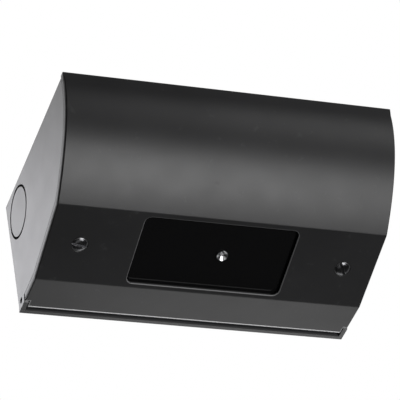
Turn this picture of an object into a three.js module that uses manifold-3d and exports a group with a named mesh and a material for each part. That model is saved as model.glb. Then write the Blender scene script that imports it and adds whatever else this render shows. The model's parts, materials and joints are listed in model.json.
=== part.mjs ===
// A compact surface-mounted pedestrian signal: a folded tray that is screwed into the corner of a wall
// and a ceiling, and a hinged front cover with a dark glass window for the red and the green light.
// The glass looks black until a light behind it is lit.
//
// Millimetres, +Z up. The wall is the plane y = 0, the front looks along -Y, and the origin is the
// middle of the tray's wall face. Sections are drawn as (depth from the wall, height above the
// lowest edge) and swept across the width.

import * as THREE from 'three';
import { mergeVertices } from 'three/addons/utils/BufferGeometryUtils.js';
import Module from 'manifold-3d';

const wasm = await Module();
wasm.setup();

// ---------------------------------------------------------------- driving dimensions

const WIDTH = 150;                 // along the wall
const DEPTH = 90;                  // wall to the front of the cover
const HEIGHT = 59;                 // lowest edge to the top of the cover

const SHEET = 2;                   // folded aluminium sheet of the tray
const BEND_RADIUS = 1;             // outside of each fold
const CUT_EDGE = 0.4;              // rounding of the back plate's lower edge
const TRAY_DROP = 0.5;             // the tray's top face lies this far below the cover's top edge

const COVER_WALL = 3;              // cast wall of the cover
const REVEAL = 0.3;                // gap between the cover and the tray
const UNDERSIDE = 23.85;           // level strip from the wall to the facet
const FACET_RUN = 38.05;           // the facet, measured along the level
const FACET_RISE = 10;             // how far the facet climbs towards the front
const BROW_ANGLE = 38.4;           // degrees above level where the curve leaves the facet
const BROW_STRAIGHT = 4;           // upright band at the top of the curve
const COVER_EDGE = 3.8;            // wall to the cover's lower edge, which is fully rounded
const COVER_CORNER = 0.5;          // rounding of the cover's top edge

const PIN_RADIUS = 1;
const PIN_CLEARANCE = 0.25;
const PIN_RECESS = 0.7;            // the pin ends this far inside the end plate's face
const EAR_WALL = 0.75;             // metal around the ear's bore
const EAR_WIDTH = 2.5;
const EAR_CLEARANCE = 0.5;         // ear to the tray's back, and ear to the end plates
const TOE_RADIUS = 4.4;            // round toe of an end plate, about the hinge pin
const TOE_CLEARANCE = 1.1;

const WINDOW_WIDTH = 70;
const WINDOW_LENGTH = 35;          // along the slope of the facet
const WINDOW_CORNER = 3;
const WINDOW_LEDGE = 1;            // thickness of the lip that holds the glass
const WINDOW_LAP = 1.5;            // how far the glass reaches behind the lip
const GASKET = 0.6;
const GLASS = 3;
const SEAT_GAP = 0.3;              // between pieces that touch, and around pieces set into others

const SCREW_FROM_END = 15;         // centre of each cover screw, inwards from the end
const SCREW_HEAD_RADIUS = 3.5;
const SCREW_SHANK_RADIUS = 1.45;
const SCREW_HEAD_RISE = 0.9;       // raised head above the facet
const SCREW_TRAVEL = 3.6;          // unscrewed distance at which the screw leaves its nut
const SCREW_TURNS = [8, 60];       // degrees that each slot happens to stand at, left and right
const SLOT_WIDTH = 1.1;
const SLOT_DEPTH = 1.2;
const SINK_CLEARANCE = 0.4;        // radial, head to countersink
const WASHER_RADIUS = 3.2;
const WASHER = 0.8;
const BRACKET_SHEET = 1.5;
const BRACKET_WIDTH = 14;
const BRACKET_MARGIN = 6.3;        // centre of the screw to the bracket's free edge
const BRACKET_HEIGHT = 13;
const NUT_FLANGE_RADIUS = 4;
const NUT_SLEEVE_RADIUS = 2.75;
const NUT_FLANGE = 1.8;
const NUT_CLEARANCE = 0.35;        // lets the screw swing out with the cover
const WASHER_TO_BRACKET = 1.2;     // when the screw is fully out and the cover is closed
const SCREW_PAST_NUT = 0.2;
const SCREW_POINT = 0.5;           // chamfer at the screw's tip

const KNOCKOUT_RADIUS = 11.05;
const KNOCKOUT_GAP = 0.7;
const KNOCKOUT_FROM_WALL = 15.6;
const KNOCKOUT_FROM_TOP = 15.1;

const BOX_WIDTH = 74;              // light box, outside its chambers
const BOX_LENGTH = 36;
const BOX_FLANGE = 1.5;
const BOX_FLANGE_WIDTH = 92;
const BOX_DEPTH = 14;
const BOX_WALL = 1.6;
const SENSOR_OFFSET = 4.5;         // the light sensor stands right of the middle
const SENSOR_POST = 9;             // width of the post between the two chambers
const SENSOR_BORE = 2.2;
const DIFFUSER = 1.5;
const DIFFUSER_LAP = 0.8;          // each side, over the chamber's wall
const BOSS_RADIUS = 3;
const BOSS_SPACING_X = 84;
const BOSS_SPACING_Y = 26;
const BOSS_ROOT = 0.5;             // how far a boss reaches into the cover's wall
const BOARD_PILOT = 2;             // light box flange to the foot of a board screw's pilot hole
const SMALL_SCREW = 0.85;          // shank radius
const SMALL_SCREW_HEAD = 2.3;
const SMALL_SCREW_HEAD_HEIGHT = 1.4;
const SMALL_SCREW_DOME = { fall: 0.5, run: 0.7 };
const BOARD = 1.6;
const BOARD_WIDTH = 92;
const BOARD_CORNER = 2;
const LED_SIZE = 5;
const LED_HEIGHT = 1.2;
const LEDS_PER_COLOUR = 3;
const SINK_WIDTH = 60;
const SINK_LENGTH = 30;
const SINK_BASE = 2;
const FIN_HEIGHT = 6;
const FIN = 1.5;
const FIN_COUNT = 6;
const BEZEL = { mouth: 1, rim: 1.7, shoulder: 2.2, foot: 2.6, rise: 1.3, slope: 0.1, skirt: 0.3 };
const GUIDE = { tip: 0.7, eye: 0.4, dish: 0.2, recess: 0.5 };
const SENSOR = { length: 3, gap: 0.5 };

const DRIVER = { x: -20, height: 34, width: 54, length: 26, thickness: 14 };
const DRIVER_EAR = { width: 6, thickness: 1.5 };
const DRIVER_LABEL = { marginX: 5, marginY: 4, thickness: 0.4 };
const TERMINAL = { x: 37, height: 35, width: 30, length: 16, thickness: 14, poles: 3 };
const TERMINAL_ENTRY = 2;          // radius of the wire's way in
const TERMINAL_SCREW = { radius: 2, length: 3.1, sunk: 1.5, slot: 0.7, slotDepth: 0.7 };
const TERMINAL_WELL = { radius: 2.4, depth: 5 };
const GROMMET = { x: 40, height: 14, bore: 4, sleeve: 6.7, flange: 8.5, thickness: 1.5 };
const EARTH = { x: -56, height: 13, stud: 2, length: 11, nut: 3.6, nutHeight: 3 };
const KEYHOLE = { fromEnd: 13, height: 44, head: 4, slot: 2.2, drop: 7 };

// ---------------------------------------------------------------- sizes that follow

const HALF = WIDTH / 2;
const SCREW_X = HALF - SCREW_FROM_END;
const TRAY_TOP = HEIGHT - TRAY_DROP;
const EAR_RADIUS = PIN_RADIUS + PIN_CLEARANCE + EAR_WALL;
const pivot = new THREE.Vector2(SHEET + EAR_CLEARANCE + EAR_RADIUS, COVER_WALL + REVEAL);
const END_INSIDE = HALF - SHEET;                 // inner face of an end plate
const EAR_OUTSIDE = END_INSIDE - EAR_CLEARANCE;

const facetAngle = Math.atan2(FACET_RISE, FACET_RUN);
const facetFoot = new THREE.Vector2(UNDERSIDE, 0);
const facetTop = new THREE.Vector2(UNDERSIDE + FACET_RUN, FACET_RISE);
const facetMiddle = facetFoot.clone().add(facetTop).multiplyScalar(0.5);

const GLASS_WIDTH = WINDOW_WIDTH + 2 * WINDOW_LAP;
const GLASS_LENGTH = WINDOW_LENGTH + 2 * WINDOW_LAP;
const GLASS_CORNER = WINDOW_CORNER + WINDOW_LAP;
const gasketFront = WINDOW_LEDGE + SEAT_GAP;
const glassFront = gasketFront + GASKET + SEAT_GAP;
const glassBack = glassFront + GLASS;
const boxFront = glassBack + SEAT_GAP;
const boxBack = boxFront + BOX_DEPTH;
const boardFront = boxBack + SEAT_GAP;
const boardBack = boardFront + BOARD;
const sinkBase = boardBack + SEAT_GAP;

const washerFront = COVER_WALL + SEAT_GAP + SCREW_TRAVEL;
const bracketFront = washerFront + WASHER + WASHER_TO_BRACKET;
const nutFlangeFront = bracketFront + BRACKET_SHEET + SEAT_GAP;
const nutBack = nutFlangeFront + NUT_FLANGE;
const screwTip = nutBack + SCREW_PAST_NUT;

// ---------------------------------------------------------------- geometry helpers

const rad = THREE.MathUtils.degToRad;

function solid(geometry) {
  const bare = geometry.clone();
  bare.deleteAttribute('normal');
  bare.deleteAttribute('uv');
  const merged = mergeVertices(bare, 1e-4);
  return new wasm.Manifold(new wasm.Mesh({
    numProp: 3,
    vertProperties: new Float32Array(merged.attributes.position.array),
    triVerts: new Uint32Array(merged.index.array),
  }));
}

function geometryOf(manifold) {
  const mesh = manifold.getMesh();
  const geometry = new THREE.BufferGeometry();
  geometry.setAttribute('position', new THREE.BufferAttribute(mesh.vertProperties, 3));
  geometry.setIndex(new THREE.BufferAttribute(mesh.triVerts, 1));
  geometry.computeVertexNormals();
  return geometry;
}

function combine(base, others, operation) {
  return geometryOf(others.reduce((body, other) => body[operation](solid(other)), solid(base)));
}

const join = (base, others) => combine(base, others, 'add');
const cut = (base, others) => combine(base, others, 'subtract');
const keep = (base, others) => combine(base, others, 'intersect');

// A closed outline swept from z = low to z = high.
function plate(shape, low, high, curveSegments = 6) {
  const depth = high - low;
  const geometry = new THREE.ExtrudeGeometry(shape, { depth, bevelEnabled: false, curveSegments });
  return geometry.translate(0, 0, low);
}

// An outline drawn as (depth, height), swept across the width from x = low to x = high.
function acrossWidth(shape, low, high, curveSegments = 6) {
  const place = new THREE.Matrix4().set(
    0, 0, -1, high,
    -1, 0, 0, 0,
    0, 1, 0, -HEIGHT / 2,
    0, 0, 0, 1,
  );
  return plate(shape, 0, high - low, curveSegments).applyMatrix4(place);
}

function roundedRectangle(width, length, radius, x = 0, y = 0) {
  const [w, l] = [width / 2, length / 2];
  const shape = new THREE.Shape();
  shape.absarc(x + w - radius, y + l - radius, radius, 0, Math.PI / 2);
  shape.absarc(x - w + radius, y + l - radius, radius, Math.PI / 2, Math.PI);
  shape.absarc(x - w + radius, y - l + radius, radius, Math.PI, 1.5 * Math.PI);
  shape.absarc(x + w - radius, y - l + radius, radius, 1.5 * Math.PI, 2 * Math.PI);
  return shape;
}

function block(width, length, low, high, x = 0, y = 0) {
  return new THREE.BoxGeometry(width, length, high - low).translate(x, y, (low + high) / 2);
}

// A round bar along +Z.
function bar(radius, low, high, x = 0, y = 0, segments = 24) {
  const geometry = new THREE.CylinderGeometry(radius, radius, high - low, segments);
  return geometry.rotateX(Math.PI / 2).translate(x, y, (low + high) / 2);
}

// A bar across the width, at a (depth, height) place.
function crossBar(radius, low, high, place, segments = 24) {
  const geometry = new THREE.CylinderGeometry(radius, radius, high - low, segments);
  return geometry.rotateZ(Math.PI / 2).translate((low + high) / 2, -place.x, place.y - HEIGHT / 2);
}

// A bar that stands on the tray's back and points away from the wall.
function outBar(radius, low, high, x, height, segments = 16) {
  return bar(radius, low, high, 0, 0, segments).rotateX(Math.PI / 2).translate(x, 0, height - HEIGHT / 2);
}

// A turned piece: the profile is a list of (radius, z) and is spun about the Z axis.
function turned(profile, x = 0, y = 0, segments = 24) {
  const points = profile.map(([radius, z]) => new THREE.Vector2(radius, z));
  return new THREE.LatheGeometry(points, segments).rotateX(Math.PI / 2).translate(x, y, 0);
}

// A box against the tray's back: x, middle height, width, length up the wall, depth range.
function wallBlock(x, height, width, length, low, high) {
  const geometry = new THREE.BoxGeometry(width, high - low, length);
  return geometry.translate(x, -(low + high) / 2, height - HEIGHT / 2);
}

// The same line moved inwards, with mitred corners. The inside lies left of the line.
function offsetLine(points, distance) {
  return points.map((point, i) => {
    const before = points[Math.max(i - 1, 0)];
    const after = points[Math.min(i + 1, points.length - 1)];
    const arriving = (i > 0 ? point.clone().sub(before) : after.clone().sub(point)).normalize();
    const leaving = (i < points.length - 1 ? after.clone().sub(point) : arriving.clone()).normalize();
    const normal = new THREE.Vector2(-arriving.y - leaving.y, arriving.x + leaving.x).normalize();
    const mitre = distance / (normal.y * arriving.x - normal.x * arriving.y);
    return point.clone().addScaledVector(normal, mitre);
  });
}

// Outer line of the cover's section from a start point on the underside to the brow.
function coverLine(startDepth, topHeight) {
  const browFoot = new THREE.Vector2(DEPTH, HEIGHT - BROW_STRAIGHT);
  const rise = (DEPTH - facetTop.x) * Math.tan(rad(BROW_ANGLE));
  const control = new THREE.Vector2(DEPTH, facetTop.y + rise);
  const brow = new THREE.QuadraticBezierCurve(facetTop, control, browFoot);
  return [new THREE.Vector2(startDepth, 0), facetFoot.clone(), ...brow.getPoints(18),
    new THREE.Vector2(DEPTH, topHeight)];
}

const facetFrame = new THREE.Matrix4()
  .makeRotationX(-facetAngle)
  .setPosition(0, -facetMiddle.x, facetMiddle.y - HEIGHT / 2);
const inFacet = (geometry) => geometry.applyMatrix4(facetFrame);

// ---------------------------------------------------------------- the object's tree

const signal = new THREE.Group();
// Local z of this group runs inwards from the facet's face, local y down the slope to the wall.
const facet = new THREE.Group();
facet.applyMatrix4(facetFrame);
signal.add(facet);

const finish = (color, roughness, metalness) =>
  new THREE.MeshStandardMaterial({ color, roughness, metalness });
const blackCoat = () => finish(0x2b2c2e, 0.45, 0.3);
const greyCoat = () => finish(0x6b6d70, 0.5, 0.3);
const blackenedSteel = () => finish(0x3a3a3c, 0.35, 0.9);
const zincSteel = () => finish(0xb4b8bc, 0.4, 0.9);

function piece(parent, name, geometry, material) {
  const mesh = new THREE.Mesh(geometry, material);
  mesh.name = name;
  parent.add(mesh);
}

const SIDES = [['left', -1], ['right', 1]];

// Low and high x of a span given by its distances from the middle, on one side.
const span = (side, inner, outer) => (side < 0 ? [-outer, -inner] : [inner, outer]);

// ---------------------------------------------------------------- tray

function backTray() {
  const inset = COVER_WALL + REVEAL;
  const toeTurn = Math.asin(pivot.y / TOE_RADIUS);
  const outline = new THREE.Shape();
  outline.moveTo(CUT_EDGE, 0);
  outline.absarc(pivot.x, pivot.y, TOE_RADIUS, -toeTurn, Math.asin((inset - pivot.y) / TOE_RADIUS));
  offsetLine(coverLine(pivot.x + TOE_RADIUS, TRAY_TOP), inset).forEach((p) => outline.lineTo(p.x, p.y));
  outline.absarc(BEND_RADIUS, TRAY_TOP - BEND_RADIUS, BEND_RADIUS, Math.PI / 2, Math.PI);
  outline.absarc(CUT_EDGE, CUT_EDGE, CUT_EDGE, Math.PI, 1.5 * Math.PI);

  // Folded edges: upright ones at the wall, and along the top of each end plate.
  const plan = roundedRectangle(WIDTH, 2 * DEPTH, BEND_RADIUS, 0, -DEPTH);
  const front = roundedRectangle(WIDTH, 2 * HEIGHT, BEND_RADIUS, 0, TRAY_TOP - HEIGHT / 2 - HEIGHT);
  const body = keep(acrossWidth(outline, -HALF, HALF, 4), [
    plate(plan, -HEIGHT, HEIGHT, 4),
    plate(front, -DEPTH, DEPTH, 4).rotateX(Math.PI / 2).translate(0, -DEPTH / 2, 0),
  ]);

  const hollowTop = TRAY_TOP - SHEET;
  const hollow = wallBlock(0, hollowTop - HEIGHT, 2 * END_INSIDE, 2 * HEIGHT, SHEET, 2 * DEPTH);
  const knockout = new THREE.Vector2(KNOCKOUT_FROM_WALL, TRAY_TOP - KNOCKOUT_FROM_TOP);
  const holes = [
    hollow,
    crossBar(KNOCKOUT_RADIUS + KNOCKOUT_GAP, -WIDTH, WIDTH, knockout, 48),
    crossBar(PIN_RADIUS + PIN_CLEARANCE, -WIDTH, WIDTH, pivot, 16),
    outBar(GROMMET.sleeve + SEAT_GAP, -SHEET, 2 * SHEET, GROMMET.x, GROMMET.height, 24),
    outBar(EARTH.stud + SEAT_GAP, -SHEET, 2 * SHEET, EARTH.x, EARTH.height),
  ];
  for (const [, side] of SIDES) {
    const x = side * (HALF - KEYHOLE.fromEnd);
    holes.push(
      outBar(KEYHOLE.head, -SHEET, 2 * SHEET, x, KEYHOLE.height - KEYHOLE.drop),
      outBar(KEYHOLE.slot, -SHEET, 2 * SHEET, x, KEYHOLE.height),
      wallBlock(x, KEYHOLE.height - KEYHOLE.drop / 2, 2 * KEYHOLE.slot, KEYHOLE.drop, -SHEET, 2 * SHEET),
      outBar(SMALL_SCREW + SEAT_GAP, -SHEET, 2 * SHEET, driverScrewX(side), DRIVER.height, 12),
    );
  }
  return cut(body, holes);
}

function knockoutDisc(side) {
  const centre = new THREE.Vector2(KNOCKOUT_FROM_WALL, TRAY_TOP - KNOCKOUT_FROM_TOP);
  return crossBar(KNOCKOUT_RADIUS, ...span(side, END_INSIDE, HALF), centre, 48);
}

function hingePin(side) {
  const inner = EAR_OUTSIDE - EAR_WIDTH - SEAT_GAP;
  return crossBar(PIN_RADIUS, ...span(side, inner, HALF - PIN_RECESS), pivot, 16);
}

// An angle spot-welded to the end plate. Its level flange holds the nut for the cover screw.
function screwBracket(side) {
  const weldFace = END_INSIDE - SEAT_GAP;
  const low = SCREW_X - BRACKET_MARGIN;
  const middle = (low + weldFace) / 2;
  const back = bracketFront + BRACKET_SHEET;
  const level = block(weldFace - low, BRACKET_WIDTH, bracketFront, back, side * middle);
  const upright = block(BRACKET_SHEET, BRACKET_WIDTH, bracketFront, bracketFront + BRACKET_HEIGHT,
    side * (weldFace - BRACKET_SHEET / 2));
  const hole = bar(NUT_SLEEVE_RADIUS + SEAT_GAP, bracketFront - 1, back + 1, side * SCREW_X);
  return cut(join(level, [upright]), [hole]);
}

function clinchNut(side) {
  const bore = SCREW_SHANK_RADIUS + NUT_CLEARANCE;
  const sleeveFront = bracketFront + SEAT_GAP;
  return turned([
    [bore, sleeveFront], [NUT_SLEEVE_RADIUS, sleeveFront], [NUT_SLEEVE_RADIUS, nutFlangeFront],
    [NUT_FLANGE_RADIUS, nutFlangeFront], [NUT_FLANGE_RADIUS, nutBack], [bore, nutBack],
    [bore, sleeveFront],
  ], side * SCREW_X);
}

// ---------------------------------------------------------------- cover

function frontCover() {
  const round = COVER_WALL / 2;
  const outer = coverLine(COVER_EDGE + round, HEIGHT - COVER_CORNER);
  const inner = offsetLine(outer, COVER_WALL).reverse();
  const outline = new THREE.Shape(outer);
  const topCentre = HEIGHT - COVER_CORNER;
  const backCorner = DEPTH - COVER_WALL + COVER_CORNER;
  outline.absarc(DEPTH - COVER_CORNER, topCentre, COVER_CORNER, 0, Math.PI / 2);
  outline.absarc(backCorner, topCentre, COVER_CORNER, Math.PI / 2, Math.PI);
  inner.forEach((p) => outline.lineTo(p.x, p.y));
  outline.absarc(COVER_EDGE + round, round, round, Math.PI / 2, 1.5 * Math.PI);
  const shell = acrossWidth(outline, -HALF, HALF, 6);

  const additions = [];
  const cuts = [
    inFacet(plate(roundedRectangle(WINDOW_WIDTH, WINDOW_LENGTH, WINDOW_CORNER), -5, 10)),
    inFacet(plate(roundedRectangle(GLASS_WIDTH + 2 * SEAT_GAP, GLASS_LENGTH + 2 * SEAT_GAP,
      GLASS_CORNER + SEAT_GAP), WINDOW_LEDGE, 10)),
  ];
  for (const [, side] of SIDES) {
    const toeCut = TOE_RADIUS + TOE_CLEARANCE;
    const mouth = SCREW_HEAD_RADIUS + SINK_CLEARANCE;
    const hole = SCREW_SHANK_RADIUS + SINK_CLEARANCE;
    additions.push(crossBar(EAR_RADIUS, ...span(side, EAR_OUTSIDE - EAR_WIDTH, EAR_OUTSIDE), pivot));
    cuts.push(
      crossBar(PIN_RADIUS + PIN_CLEARANCE, ...span(side, EAR_OUTSIDE - 2 * EAR_WIDTH, HALF), pivot),
      crossBar(toeCut, ...span(side, EAR_OUTSIDE, HALF + 1), pivot, 48),
      inFacet(turned([[0, -1], [mouth + 1, -1], [hole, mouth - hole], [hole, 8], [0, 8]],
        side * SCREW_X, 0, 32)),
    );
    for (const end of [-1, 1]) {
      const place = [side * BOSS_SPACING_X / 2, end * BOSS_SPACING_Y / 2];
      additions.push(inFacet(bar(BOSS_RADIUS, COVER_WALL - BOSS_ROOT, glassBack, ...place, 16)));
      cuts.push(inFacet(bar(SMALL_SCREW + PIN_CLEARANCE, COVER_WALL / 2, glassBack + 1, ...place, 12)));
    }
  }
  return cut(join(shell, additions), cuts);
}

function coverScrew(side, turn) {
  const coneStart = SEAT_GAP / 2;
  const coneEnd = coneStart + SCREW_HEAD_RADIUS - SCREW_SHANK_RADIUS;
  const dome = [0, 0.35, 0.65, 0.87, 1].map((share) => [
    SCREW_HEAD_RADIUS * share, coneStart - SCREW_HEAD_RISE * Math.sqrt(1 - share * share) ** 1.2,
  ]);
  const body = turned([
    ...dome, [SCREW_SHANK_RADIUS, coneEnd], [SCREW_SHANK_RADIUS, screwTip - SCREW_POINT],
    [SCREW_SHANK_RADIUS - SCREW_POINT, screwTip], [0, screwTip],
  ], 0, 0, 32);
  const slotFloor = SLOT_DEPTH - SCREW_HEAD_RISE;
  const slot = block(4 * SCREW_HEAD_RADIUS, SLOT_WIDTH, -3, slotFloor);
  return cut(body, [slot]).rotateZ(rad(turn)).translate(side * SCREW_X, 0, 0);
}

function retainingWasher(side) {
  const bore = SCREW_SHANK_RADIUS + SEAT_GAP;
  return turned([
    [bore, washerFront], [WASHER_RADIUS, washerFront], [WASHER_RADIUS, washerFront + WASHER],
    [bore, washerFront + WASHER], [bore, washerFront],
  ], side * SCREW_X);
}

// ---------------------------------------------------------------- window and light engine

function windowGasket() {
  const opening = plate(roundedRectangle(WINDOW_WIDTH + 2 * SEAT_GAP, WINDOW_LENGTH + 2 * SEAT_GAP,
    WINDOW_CORNER), gasketFront - 1, gasketFront + GASKET + 1);
  const sheet = plate(roundedRectangle(GLASS_WIDTH, GLASS_LENGTH, GLASS_CORNER),
    gasketFront, gasketFront + GASKET);
  return cut(sheet, [opening]);
}

function windowGlass() {
  const sheet = plate(roundedRectangle(GLASS_WIDTH, GLASS_LENGTH, GLASS_CORNER), glassFront, glassBack);
  return cut(sheet, [bar(SENSOR_BORE, glassFront - 1, glassBack + 1, SENSOR_OFFSET)]);
}

// The two chambers lie left and right of the sensor post: [middle x, width].
const chambers = SIDES.map(([, side]) => {
  const outer = side * (BOX_WIDTH / 2 - BOX_WALL);
  const inner = SENSOR_OFFSET + side * SENSOR_POST / 2;
  return { x: (outer + inner) / 2, width: Math.abs(outer - inner) };
});
const CHAMBER_LENGTH = BOX_LENGTH - 2 * BOX_WALL;
const diffuserLedge = boxFront + DIFFUSER + SEAT_GAP;

function lightBox() {
  const flangeBack = boxFront + BOX_FLANGE;
  const flange = plate(roundedRectangle(BOX_FLANGE_WIDTH, BOX_LENGTH, WINDOW_CORNER), boxFront, flangeBack);
  const additions = [block(BOX_WIDTH, BOX_LENGTH, boxFront, boxBack)];
  const cuts = [bar(SENSOR_BORE, boxFront - 1, boxBack + 1, SENSOR_OFFSET)];
  for (const { x, width } of chambers) {
    cuts.push(
      block(width, CHAMBER_LENGTH, boxFront - 1, boxBack + 1, x),
      block(width + 2 * DIFFUSER_LAP, CHAMBER_LENGTH + 2 * DIFFUSER_LAP, boxFront - 1, diffuserLedge, x),
    );
  }
  for (const [, side] of SIDES) {
    const postX = side * BOSS_SPACING_X / 2;
    const [postRoot, postEnd] = [(BOX_WIDTH - BOX_WALL) / 2, BOX_FLANGE_WIDTH / 2];
    additions.push(block(postEnd - postRoot, 2 * BOSS_RADIUS, boxFront, boxBack,
      side * (postRoot + postEnd) / 2));
    cuts.push(bar(SMALL_SCREW + SEAT_GAP, flangeBack + BOARD_PILOT, boxBack + 1, postX, 0, 12));
    for (const end of [-1, 1]) {
      cuts.push(bar(SMALL_SCREW + SEAT_GAP, boxFront - 1, flangeBack + 1, postX,
        end * BOSS_SPACING_Y / 2, 12));
    }
  }
  return cut(join(flange, additions), cuts);
}

function diffuser(chamber) {
  const margin = 2 * (DIFFUSER_LAP - SEAT_GAP);
  return block(chamber.width + margin, CHAMBER_LENGTH + margin, boxFront, boxFront + DIFFUSER, chamber.x);
}

function ledBoard() {
  const board = plate(roundedRectangle(BOARD_WIDTH, BOX_LENGTH, BOARD_CORNER), boardFront, boardBack, 3);
  return cut(board, SIDES.map(([, side]) => bar(SMALL_SCREW + SEAT_GAP, boardFront - 1, boardBack + 1,
    side * BOSS_SPACING_X / 2, 0, 12)));
}

function led(chamber, index) {
  const pitch = chamber.width / LEDS_PER_COLOUR;
  const x = chamber.x + (index - (LEDS_PER_COLOUR - 1) / 2) * pitch;
  const back = boardFront - SEAT_GAP;
  return block(LED_SIZE, LED_SIZE, back - LED_HEIGHT, back, x);
}

// A pan-head screw along the facet's inward direction. The head is at the z = head end.
function smallScrew(tip, head) {
  const top = head + SMALL_SCREW_HEAD_HEIGHT;
  return turned([
    [0, tip], [SMALL_SCREW, tip], [SMALL_SCREW, head], [SMALL_SCREW_HEAD, head],
    [SMALL_SCREW_HEAD, top - SMALL_SCREW_DOME.fall], [SMALL_SCREW_HEAD - SMALL_SCREW_DOME.run, top],
    [0, top],
  ], 0, 0, 16);
}

function heatSink() {
  const base = block(SINK_WIDTH, SINK_LENGTH, sinkBase, sinkBase + SINK_BASE);
  const pitch = (SINK_LENGTH - FIN) / (FIN_COUNT - 1);
  const fins = Array.from({ length: FIN_COUNT }, (_, i) => block(SINK_WIDTH, FIN,
    sinkBase, sinkBase + SINK_BASE + FIN_HEIGHT, 0, -SINK_LENGTH / 2 + FIN / 2 + i * pitch));
  return join(base, fins);
}

// A polished ring that stands out of the glass and guards the light guide.
function sensorBezel() {
  const sleeve = SENSOR_BORE - SEAT_GAP;
  const headBack = glassFront - SEAT_GAP;
  const { mouth, rim, shoulder, foot, rise, slope, skirt } = BEZEL;
  const throat = headBack - slope - skirt;
  return turned([
    [mouth, throat], [rim, headBack - rise], [shoulder, headBack - rise + slope], [foot, headBack - skirt],
    [foot, headBack], [sleeve, headBack], [sleeve, glassBack], [mouth, glassBack], [mouth, throat],
  ], SENSOR_OFFSET, 0, 32);
}

function lightGuide() {
  const front = glassFront - SEAT_GAP - GUIDE.recess;
  const back = boxBack - SENSOR.length - SENSOR.gap;
  const rod = SENSOR_BORE - 2 * SEAT_GAP;
  return turned([
    [0, front - GUIDE.dish - 0.1], [GUIDE.eye, front - GUIDE.dish], [GUIDE.tip, front],
    [GUIDE.tip, boxFront], [rod, boxFront], [rod, back], [0, back],
  ], SENSOR_OFFSET, 0, 20);
}

// ---------------------------------------------------------------- electrics on the tray

const trayFace = SHEET + SEAT_GAP;

function driverScrewX(side) {
  return DRIVER.x + side * (DRIVER.width + DRIVER_EAR.width) / 2;
}

function driverModule() {
  const { x, height, width, length, thickness } = DRIVER;
  const { marginX, marginY } = DRIVER_LABEL;
  const base = wallBlock(x, height, width + 2 * DRIVER_EAR.width, length / 2, trayFace,
    trayFace + DRIVER_EAR.thickness);
  const label = wallBlock(x, height, width - 2 * marginX, length - 2 * marginY, trayFace,
    trayFace + thickness + DRIVER_LABEL.thickness);
  const body = wallBlock(x, height, width, length, trayFace, trayFace + thickness);
  return cut(join(body, [base, label]), SIDES.map(([, side]) =>
    outBar(SMALL_SCREW + SEAT_GAP, 0, 2 * trayFace, driverScrewX(side), height, 12)));
}

function driverScrew(side) {
  const head = trayFace + DRIVER_EAR.thickness + SEAT_GAP;
  return smallScrew(SEAT_GAP, head).rotateX(Math.PI / 2)
    .translate(driverScrewX(side), 0, DRIVER.height - HEIGHT / 2);
}

const poleX = (pole) => TERMINAL.x + (pole - (TERMINAL.poles - 1) / 2) * (TERMINAL.width / TERMINAL.poles);

function terminalBlock() {
  const { x, height, width, length, thickness, poles } = TERMINAL;
  const face = trayFace + thickness;
  const cuts = [];
  for (let pole = 0; pole < poles; pole += 1) {
    const entry = bar(TERMINAL_ENTRY, height - length / 2 - 1 - HEIGHT / 2, height - HEIGHT / 2, poleX(pole),
      -trayFace - thickness / 2, 12);
    cuts.push(entry, outBar(TERMINAL_WELL.radius, face - TERMINAL_WELL.depth, face + 1, poleX(pole),
      height + length / 5, 12));
  }
  return cut(wallBlock(x, height, width, length, trayFace, face), cuts);
}

function terminalScrew(pole) {
  const { radius, sunk, length, slot, slotDepth } = TERMINAL_SCREW;
  const top = trayFace + TERMINAL.thickness - sunk;
  const height = TERMINAL.height + TERMINAL.length / 5;
  const screw = outBar(radius, top - length, top, poleX(pole), height, 12);
  return cut(screw, [wallBlock(poleX(pole), height, slot, 3 * radius, top - slotDepth, top + 1)]);
}

function earthStud() {
  return outBar(EARTH.stud, SEAT_GAP, EARTH.length, EARTH.x, EARTH.height);
}

function earthNut() {
  const low = SHEET + 2 * SEAT_GAP;
  const nut = outBar(EARTH.nut, low, low + EARTH.nutHeight, EARTH.x, EARTH.height, 6);
  return cut(nut, [outBar(EARTH.stud + SEAT_GAP, low - 1, low + 2 * EARTH.nutHeight, EARTH.x,
    EARTH.height)]);
}

function cableGrommet() {
  const flange = trayFace + GROMMET.thickness;
  const ring = turned([
    [GROMMET.bore, SEAT_GAP], [GROMMET.sleeve, SEAT_GAP], [GROMMET.sleeve, trayFace],
    [GROMMET.flange, trayFace], [GROMMET.flange, flange], [GROMMET.bore, flange],
    [GROMMET.bore, SEAT_GAP],
  ]);
  return ring.rotateX(Math.PI / 2).translate(GROMMET.x, 0, GROMMET.height - HEIGHT / 2);
}

// ---------------------------------------------------------------- assembly

piece(signal, 'back_tray', backTray(), greyCoat());
piece(signal, 'front_cover', frontCover(), blackCoat());

SIDES.forEach(([word, side], i) => {
  piece(signal, `knockout_disc_${word}`, knockoutDisc(side), greyCoat());
  piece(signal, `hinge_pin_${word}`, hingePin(side), blackenedSteel());
  piece(facet, `screw_bracket_${word}`, screwBracket(side), zincSteel());
  piece(facet, `clinch_nut_${word}`, clinchNut(side), zincSteel());
  piece(facet, `cover_screw_${word}`, coverScrew(side, SCREW_TURNS[i]), blackenedSteel());
  piece(facet, `retaining_washer_${word}`, retainingWasher(side), finish(0xd8d4c6, 0.6, 0));
  piece(signal, `driver_screw_${word}`, driverScrew(side), zincSteel());
});

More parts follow.
